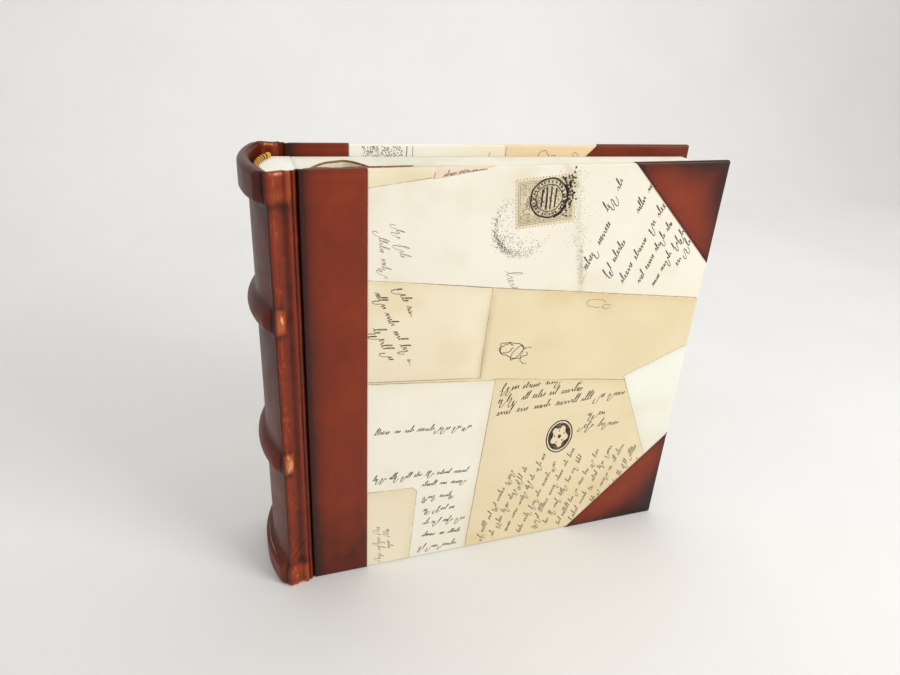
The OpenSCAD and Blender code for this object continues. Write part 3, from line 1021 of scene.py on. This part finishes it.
def make_front_writing():
    steep = written([
        (181, 228, 68, 34, 2.9), (197, 222, 68, 26, 2.9), (190, 268, 68, 30, 2.9), (213, 266, 68, 30, 2.8),
        (211, 216, 68, 62, 2.9), (224, 215, 68, 50, 2.6), (236, 212, 68, 50, 2.6), (252, 226, 68, 22, 2.8)],
        0.62, 100)
    right = [(158, 305), (168, 287), (182, 216), (282, 203), (282, 305)]
    ribbons("front_writing_right",
        trimmed(steep, lambda u, z: on_paper(u, z) & inside(right, u, z)), -1, INK)
    middle = written([(38, 224, -66, 62, 3.0), (52, 226, -66, 54, 3.0), (37, 200, -66, 40, 3.0)], 0.56, 130)
    strip = lambda u, z: on_paper(u, z) & (z > 163 - (u - 35) * 0.1) & (z < 230) & (u < 62)
    ribbons("front_writing_middle", trimmed(middle, strip), -1, INK)
    starts = [
        (38, 119, 66), (37, 80, 68), (73, 68, 36), (74, 56, 34), (75, 44, 34), (75, 32, 34), (75, 20, 34),
        (73, 8, 34)]
    letter = written([(u, z, -4, long, 2.2) for u, z, long in starts], 0.54, 150)
    lower = lambda u, z: on_paper(u, z) & inside(FRONT_SHEETS[7][0], u, z) & ~inside(FRONT_SHEETS[8][0], u, z)
    ribbons("front_writing_lower_left", trimmed(letter, lower), -1, INK)
    address = written([
        (127, 140.5, 2, 96, 2.9), (126, 131, 2, 66, 2.9), (126, 121, 2, 102, 2.9), (200, 109, -3, 14, 2.9),
        (196, 99, -3, 38, 2.9)], 0.6, 170)
    address += written([
        (122 + 11.5 * number, 4 + (number % 3) * 2, 70, 64 + (number * 7) % 17, 2.3) for number in range(12)],
        0.44, 190)

    def on_letter(u, z):
        oval = ((u - 179.5) / 15) ** 2 + ((z - 94) / 19) ** 2 > 1
        margin = inside([(124, 150), (228, 136), (259, 66), (259, 3), (113, 3)], u, z)
        slanted = (z > 90) | (z < 88 - 0.1 * (u - 120))
        return on_paper(u, z) & margin & oval & slanted

    ribbons("front_writing_letter", trimmed(address, on_letter), -1, INK)
    notes = written([
        (40, 262, -84, 28, 2.6), (50, 266, -80, 20, 2.6), (122, 232, -66, 14, 4.0), (41, 38, -88, 34, 2.4),
        (48, 34, -86, 24, 2.0)], 0.38, 220)
    ribbons("front_notes", trimmed(notes, on_paper), -1, PALE_INK_AND_SHADOW)
    flourish = [
        loop_line((134, 173), 11, 5.5, 0.5, (40, 380), 0.05, 1, -22),
        loop_line((129, 175), 5, 3.2, 0.55, (0, 330), 0.08, 3, 20),
        loop_line((137, 171), 6.5, 2.6, 0.45, (20, 420), 0.05, 5, 50),
        loop_line((144, 168), 4, 6.5, 0.4, (60, 300), 0.04, 2, -12)]
    ribbons("front_flourish", flourish, -1, INK)
    faint = writing((78, 294), 9, 34, 1.6, 0.4, 240)
    faint += [
        loop_line((193, 203), 8, 3, 0.3, (30, 300), 0.05, 2, -8),
        loop_line((201, 200), 3, 1.6, 0.3, (0, 330), 0.06, 4)]
    ribbons("front_faint_writing", trimmed(faint, on_paper), -1, RED_INK)
    ribbons("front_sheet_edges", sheet_lines(FRONT_SHEETS, on_paper, 5), -1, LINE_INK)


def make_stamp(side, centre, lean, body):
    """A perforated stamp with a plain ornament: frame lines, a hatched ground and a rosette."""
    half_w, half_h, pitch, bite = 20.0, 15.5, 2.1, 0.55
    outline = []
    corners = [(-half_w, -half_h), (half_w, -half_h), (half_w, half_h), (-half_w, half_h)]
    for start, end in zip(corners, corners[1:] + corners[:1]):
        run = np.subtract(end, start)
        length = np.linalg.norm(run)
        inward = np.array([-run[1], run[0]]) / length
        for place in np.linspace(0, 1, int(length / pitch) * 4 + 1)[:-1]:
            notch = max(0.0, math.cos(2 * math.pi * place * int(length / pitch)))
            outline.append(np.add(start, run * place) + inward * bite * notch)
    outline = np.array(outline)
    spin = spin_matrix(lean)
    rings = [outline * k @ spin + centre for k in (1.0, 0.93, 0.7, 0.35)]
    base = LEATHER_T - PAPER_T
    count = len(outline)
    points = [(u, base + 0.02, z) for u, z in rings[0]] + [(u, base - 0.08, z) for r in rings for u, z in r]
    points.append((centre[0], base - 0.08, centre[1]))
    points.append((centre[0], base + 0.02, centre[1]))
    faces = []
    for k in range(count):
        n = (k + 1) % count
        faces.append((k, n, count + n, count + k))
        for ring in range(1, 4):
            faces.append((ring * count + k, ring * count + n, (ring + 1) * count + n, (ring + 1) * count + k))
        faces.append((4 * count + k, 4 * count + n, 5 * count))
        faces.append((k, 5 * count + 1, n))
    flat = np.array(points)
    on_cover = cover_point(laid(flat[:, 0]), flat[:, 1], flat[:, 2], side)
    piece = make_object(f"{body}_stamp", on_cover, faces, False)
    close_mesh(piece)
    tint = np.tile(np.array([226.0, 213, 178]), (len(piece.data.vertices), 1))
    tint += cloud(flat[:, 0], flat[:, 2], 8, 81)[:len(tint), None] * np.array([8, 8, 10])
    set_colours(piece, linear(tint))
    finish_piece(piece, PAPER, body)
    rng = np.random.default_rng(17)
    place = lambda pts: np.asarray(pts) @ spin + centre
    # Painted shadow: dark dots just outside the perforated edge, where the stamp's edge throws shade.
    lines = [(place(path), 0.4) for path, _ in dots(rng, outline[2::4] * 1.005, 0.7)]
    for inset in (1.9, 2.9):
        w, h = half_w - inset, half_h - inset
        box = [(-w, -h), (w, -h), (w, h), (-w, h)]
        for a, b in zip(box, box[1:] + box[:1]):
            path, width = straight(a, b, 0.3, rng, 0.04)
            lines.append((place(path), width))
    for x in np.arange(-half_w + 3.6, half_w - 3.2, 0.85):
        for low, high in (
                (-half_h + 3.4, -half_h + 7 + rng.uniform(0, 3)),
                (half_h - 7 - rng.uniform(0, 4), half_h - 3.4)):
            lines.append((place(straight((x, low), (x + rng.uniform(-0.2, 0.2), high), 0.16)[0]), 0.16))
    places = np.stack([
        rng.uniform(-half_w + 3.2, half_w - 3.2, 900), rng.uniform(-half_h + 3.2, half_h - 3.2, 900)], 1)
    heavy = cloud(places[:, 0], places[:, 1], 7, 33) > -0.15
    lines += [(place(p), w) for p, w in dots(rng, places[heavy], 0.55)]
    for petal in range(6):
        path, width = loop_line((-8, 0), 1.8, 5.2, 0.4, (0, 360), 0, 0, petal * 30)
        lines.append((place(path), width))
    raised = ribbons(f"{body}_stamp_print_and_edge_shadow", lines, side, PALE_INK_AND_SHADOW)
    raised.data.transform(lift_matrix(side, 0.07))


def lift_matrix(side, amount):
    """Moves a piece out from a board's outer face."""
    out = cover_point(np.array([0.0, 0.0]), np.array([0.0, -amount]), np.array([0.0, 0.0]), side)
    return Matrix.Translation((out[1] - out[0]) * MM)


def make_postmark(side, centre, body):
    """An empty double-ring postmark with worn bars, and the stippled ghost of another."""
    rng = np.random.default_rng(23)
    lines = [
        loop_line(centre, 12.4, 12.4, 1.1, (0, 360), 0.01, 1),
        loop_line(centre, 9.0, 8.6, 0.55, (0, 360), 0.01, 2),
        loop_line(np.add(centre, (-1.5, 1)), 14.2, 15.5, 1.1, (-64, 52), 0.015, 4)]
    for number in range(26):
        angle = math.radians(number * 360 / 26 + rng.uniform(-3, 3))
        ray = np.array([math.cos(angle), math.sin(angle)])
        low, high = 9.5 + rng.uniform(0, 0.5), 10.9 + rng.uniform(0, 0.7)
        lines.append(straight(ray * low + centre, ray * high + centre, 0.75))
    for row in (-4.6, -1.6, 1.5, 4.4):
        reach = math.sqrt(7.4 ** 2 - row ** 2)
        shift = rng.uniform(-0.3, 0.3)
        a, b = (centre[0] + row, centre[1] - reach), (centre[0] + row + shift, centre[1] + reach)
        lines.append(straight(a, b, 0.9 + rng.uniform(0, 0.5), rng, 0.12))
    blots = np.stack([centre[0] + rng.normal(13, 2.2, 90), centre[1] + rng.normal(2, 7, 90)], 1)
    lines += dots(rng, blots, 1.5)
    lines += dots(rng, np.stack([centre[0] + rng.normal(0, 6, 120), centre[1] + rng.normal(0, 6, 120)], 1), 0.6)
    piece = ribbons(f"{body}_postmark", lines, side, INK)
    piece.data.transform(lift_matrix(side, 0.14))
    ghost = []
    for ring, spread, count in ((19, 1.5, 620), (13, 3.0, 150)):
        angle = np.radians(rng.normal(222, 48, count))
        radius = ring + rng.normal(0, spread, count)
        ghost.append(np.stack([
            centre[0] - 15 + radius * np.cos(angle), centre[1] - 17 + radius * np.sin(angle)], 1))
    keep = np.vstack(ghost)
    ribbons(f"{body}_faint_postmark", dots(rng, keep[keep[:, 0] > 38], 0.55), side, PALE_INK_AND_SHADOW)
    stain = np.stack([rng.normal(0, 4.5, 520), rng.uniform(218, 296, 520)], 1)
    sideways = np.where(stain[:, 1] > 246, stain[:, 0] - 2, stain[:, 0] * 0.3)
    stain[:, 0] = 173.5 + (250 - stain[:, 1]) * 0.17 + sideways
    ribbons(f"{body}_fold_specks", dots(rng, stain, 0.42), side, PALE_INK_AND_SHADOW)


def make_seal(side, centre, body):
    """A dark oval hand stamp with a pale rosette: rings, petals and short rays."""
    disc_lines = []
    for ring in np.arange(0.3, 15.6, 0.62):
        share = ring / 16.0
        if 6.4 < ring < 7.2 or ring > 14.9:
            continue
        disc_lines.append(loop_line(centre, 11.8 * share, 16 * share, 0.5, (0, 360), 0.004, ring))

    def dark(u, z):
        du, dz = (u - centre[0]) / 11.8, (z - centre[1]) / 16.0
        radius, angle = np.hypot(du, dz), np.arctan2(dz, du)
        flower = radius < 0.62 * np.abs(np.cos(2.5 * angle + 0.4)) ** 0.55
        eye = radius < 0.13
        halo = (radius > 0.78) & (radius < 0.84)
        return (~flower | eye) & ~halo

    lines = []
    for path, width in disc_lines:
        lines += trimmed([(path, width)], dark)
    ribbons(f"{body}_oval_seal", lines, side, INK)


def make_back_writing():
    lines = written([(130, 150 - 15 * number, 4, 116, 2.5) for number in range(9)], 0.55, 300)
    lines += written([(40, 292 - 13 * number, 5, 62 + (number * 11) % 20, 2.1) for number in range(7)], 0.5, 320)
    lines += written([(192 + 14 * number, 176, 70, 88, 2.4) for number in range(6)], 0.55, 340)
    ribbons("back_writing", trimmed(lines, on_paper), 1, INK)
    ribbons("back_sheet_edges", sheet_lines(BACK_SHEETS, on_paper, 6), 1, LINE_INK)


def make_turn_in_print():
    """What shows on the turn-in inside the back board: a dotted ground, two rules and a few loops."""
    rng = np.random.default_rng(29)
    top = COVER_H - 1.6
    low = COVER_H - TURN_IN + 1
    cluster = np.stack([rng.uniform(42, 68, 700), rng.uniform(low, top, 700)], 1)
    weight = 0.35 + 0.65 * (np.sin(cluster[:, 0] * 0.9) * np.cos(cluster[:, 1] * 1.1) > -0.1)
    cluster = cluster[rng.uniform(0, 1, len(cluster)) < weight]
    lines = dots(rng, cluster, 0.62)
    lines += [
        straight((70.5, low), (71, top), 0.5, rng, 0.12), straight((74.5, low), (74.8, top), 0.3, rng, 0.05)]
    ribbons("back_turn_in_print", lines, 1, INK, inner=True)
    loops = [
        loop_line((131, 290), 3.5, 6, 0.35, (100, 330), 0.03, 1, 30),
        loop_line((166, 290), 4, 6, 0.4, (0, 340), 0.03, 2, 10),
        loop_line((172, 288), 2.5, 5, 0.35, (0, 300), 0.04, 3, -20),
        loop_line((190, 290), 2, 5, 0.35, (60, 420), 0.05, 4, 20),
        straight((138, low), (138.6, top), 0.35, rng, 0.12)]
    ribbons("back_turn_in_loops", loops, 1, RED_INK, inner=True)


for side_name, side, sheets in (("front", -1, FRONT_SHEETS), ("back", 1, BACK_SHEETS)):
    board_leather(side_name, side)
    leather_corner(side_name, side, "head_corner")
    leather_corner(side_name, side, "tail_corner")
    paper_side(side_name, side, sheets)

make_front_writing()
make_stamp(-1, (145, 277), 5, "front_cover")
make_postmark(-1, (147, 279), "front_cover")
make_seal(-1, (179.5, 94), "front_cover")
make_back_writing()
make_turn_in_print()


# ---------------------------------------------------------------- flyleaf and endpaper

BLOCK_HALF = JOINT_HALF - COVER_T - 0.2
BOW = 31.0
BOW_START, BOW_END = BOARD_X + 3, BOARD_X + 95
# The bowed flyleaf's way down and along, as distances from the board's edge in X and from the middle in Y.
FALL = [
    (20.5, -2.9), (23.5, -1.3), (27.5, -0.4), (31.5, -1.2), (34.8, -4.0), (37.6, -8.0), (40.2, -12.8),
    (42.6, -17.6), (45.1, -21.6), (48, -23.6), (51, -24.4), (60, -25.4), (76, -26.6), (100, -27.2), (150, -25.7),
    (200, -24.0), (279, -21.35)]


def flyleaf_line():
    """The bowed front flyleaf in plan: out in an arch beside the first leaf, down again, and flat to the fore
    edge."""
    count = 26
    start = np.array([BOARD_X + 1.5 - 8, BLOCK_HALF * (1 / count - 1)])
    end_x = BOARD_X + BOARD_W - 6
    x = np.concatenate([[start[0]], np.linspace(BOW_START, BOW_END, 90), np.linspace(BOW_END, end_x, 60)[1:]])
    share = np.clip((x - BOW_START) / (BOW_END - BOW_START), 0, 1)
    bowed = np.sin(math.pi * share ** 0.6).clip(0) ** 1.45
    run = (x - start[0]) / (end_x - start[0])
    y = start[1] + run * (FORE_HALF - COVER_T - BLOCK_HALF) * (1 / count - 1) + BOW * bowed
    line = np.stack([x, y], 1)
    rise = line[x < BOARD_X + 19.5]
    fall = curve_through(np.vstack([rise[-2:] - (BOARD_X, 0), FALL]), 260)[12:]
    return np.vstack([rise, fall + (BOARD_X, 0)])


def upright_sheet(name, line, low, high, thickness, edge_height):
    """A sheet of paper standing on edge along a line in plan, with a rounded top whose edge value is high."""
    rows = np.concatenate([np.linspace(low, high - 4, 24), np.linspace(high - 4, high - thickness / 2, 10)[1:]])
    cap = [(thickness / 2 * math.cos(a), thickness / 2 * math.sin(a)) for a in np.linspace(0, math.pi, 7)]
    section = [(thickness / 2, z) for z in rows] + [(n, high - thickness / 2 + r) for n, r in cap[1:-1]]
    section += [(-thickness / 2, z) for z in rows[::-1]]
    along = np.gradient(line, axis=0)
    along /= np.linalg.norm(along, axis=1)[:, None]
    normal = np.stack([-along[:, 1], along[:, 0]], 1)
    points, edge = [], []
    for p, n in zip(line, normal):
        brown = 1 - 0.7 * smooth_step(p[0] - BOARD_X, 52, 78)
        for off, z in section:
            points.append((p[0] + n[0] * off, p[1] + n[1] * off, z))
            edge.append(brown * smooth_step(z, high - edge_height - 0.5, high - edge_height + 0.5))
    piece = make_object(name, points, tube_faces(len(section), len(line)))
    set_values(piece, "edge", np.array(edge))
    close_mesh(piece)
    return piece


flyleaf = upright_sheet("front_flyleaf_bowed", flyleaf_line(), SQUARE, COVER_H - 3, 0.6, 1.3)
finish_piece(flyleaf, EDGED, "front_flyleaf", ["front_flyleaf"])


def endpaper_line():
    """The front pastedown in plan: it lifts from the board in two low waves beside the joint."""
    u = np.concatenate([np.linspace(3, 110, 110), np.linspace(110, BOARD_W - TURN_IN, 30)[1:]])
    lift = 3.2 * hump(u, 12, 8) + 3.0 * smooth_step(u, 16, 34) * smooth_step(u, 120, 60)
    place = cover_point(u, COVER_T + 0.35 + lift, np.zeros(len(u)), -1)
    return place[:, :2]


endpaper = upright_sheet("front_pastedown_lifted", endpaper_line(), TURN_IN, COVER_H - 0.4, 0.35, 1.0)
finish_piece(endpaper, EDGED, "front_cover", ["front_pastedown"])


# ---------------------------------------------------------------- endbands

# The stripes' pitch along the endband, the gold part of it, and the plain gold at the band's two ends.
STRIPE_PITCH, STRIPE_GOLD = 4.2, 2.2
PLAIN_START, PLAIN_END = 3, 5


def make_endband(name):
    """A silk endband: a core along the back of the leaves, wound with gold thread and dark red stripes."""
    low, high = (np.array(corner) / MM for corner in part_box(name))
    radius = 1.75
    centre_z = (low[2] + high[2]) / 2
    half_y = high[1] - 0.3
    bulge = high[0] - low[0] - 2 * radius
    arc_r = (half_y ** 2 + bulge ** 2) / (2 * bulge)
    arc_x = low[0] + radius + arc_r
    half = math.asin(half_y / arc_r)
    length = 2 * half * arc_r
    turns = int(length / 0.62)
    steps = turns * 6
    points, colours = [], []
    ring = 14
    gold, red = linear((236, 168, 56)), linear((58, 14, 8))
    for k in range(steps + 1):
        share = k / steps
        a = -half + 2 * half * share
        turn = share * turns
        swell = 0.9 + 0.09 * abs(math.sin(math.pi * turn))
        reach = share * length
        stripe = reach % STRIPE_PITCH > STRIPE_GOLD and PLAIN_START < reach < length - PLAIN_END
        closing = min(1.0, 6 * min(share, 1 - share) * length / 12 + 0.25)
        for r in range(ring):
            b = 2 * math.pi * r / ring
            out = arc_r + radius * swell * closing * math.cos(b)
            points.append((arc_x - out * math.cos(a), out * math.sin(a),
                centre_z + radius * swell * closing * math.sin(b)))
            colours.append(red if stripe else gold)
    piece = make_object(f"{name}_silk", points, tube_faces(ring, steps + 1))
    set_colours(piece, np.array(colours))
    close_mesh(piece)
    finish_piece(piece, SILK, "spine", [name])


make_endband("head_endband")
make_endband("tail_endband")


# ---------------------------------------------------------------- CAD nodes that stay, with their materials


def dress(nodes, material):
    for name in nodes:
        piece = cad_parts[name]
        piece.data.materials.clear()
        piece.data.materials.append(material)


dress(["front_board", "back_board", "spine_hollow_card", "upper_raised_band", "lower_raised_band"], BOARD)
dress(["spine_mull", "sewing_tapes"], LINEN)
dress(["head_cap_cord", "tail_cap_cord"], CORD)
dress(["stub_guards", "leaf_margins"], CARD)
dress(["back_pastedown", "back_flyleaf"], ENDPAPER)
dress([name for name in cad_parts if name.startswith("leaf_") and name != "leaf_margins"], CARD)


# ---------------------------------------------------------------- floor, lights and camera


def make_sweep():
    """A pale paper sweep: a floor that curves up into a wall behind."""
    wall_y, radius, height, half_width, front = 1.25, 0.45, 2.6, 2.8, -2.4
    bend = [(wall_y - radius + radius * math.sin(a), radius - radius * math.cos(a))
        for a in np.linspace(0, math.pi / 2, 25)]
    profile = [(front, 0.0)] + bend + [(wall_y, height)]
    points = [(x / MM, y / MM, z / MM) for y, z in profile for x in (-half_width, half_width)]
    faces = [(2 * k, 2 * k + 1, 2 * k + 3, 2 * k + 2) for k in range(len(profile) - 1)]
    sweep = make_object("paper_sweep", points, faces)
    s = Shader("sweep_paper")
    colour = s.ramp(s.spread(s.noise(3, 3), 0.0, 1.0), [(0.0, (237, 237, 236)), (1.0, (242, 242, 241))])
    s.bump(s.noise(900, 2), 0.05, 0.0002)
    sweep.data.materials.append(s.set(Base_Color=colour, Roughness=0.8, Specular_IOR_Level=0.2))


def add_light(name, place, target, size, power, rgb=(1, 1, 1)):
    data = bpy.data.lights.new(name, "AREA")
    data.shape, data.size, data.energy, data.color = "SQUARE", size, power, rgb
    light = add_to_scene(name, data)
    light.location = place
    aim = np.subtract(target, place)
    light.rotation_euler = Vector(aim).to_track_quat("-Z", "Y").to_euler()


make_sweep()
add_light("key", (0.95, -1.0, 0.95), (0, 0, 0.12), 0.7, 13.2, (1.0, 0.985, 0.96))
add_light("fill", (-1.1, -0.9, 1.3), (0, 0, 0.15), 1.2, 3, (0.97, 0.98, 1.0))
add_light("backdrop", (0.2, 0.7, 1.6), (0.25, 1.15, 0.7), 1.3, 6.5, (1.0, 0.985, 0.96))
world = bpy.data.worlds.new("soft_room")
bpy.context.scene.world = world
world.use_nodes = True
world.node_tree.nodes["Background"].inputs["Color"].default_value = (1.0, 0.985, 0.955, 1.0)
world.node_tree.nodes["Background"].inputs["Strength"].default_value = 0.51

camera_data = bpy.data.cameras.new("camera")
camera_data.lens, camera_data.sensor_width = 27.866, 36.0
camera = add_to_scene("camera", camera_data)
camera.location = (-0.15882, -0.42061, 0.39358)
camera.rotation_euler = [math.radians(a) for a in (63.198, -3.171, -16.338)]
bpy.context.scene.camera = camera
bpy.context.scene.view_settings.view_transform = "Standard"
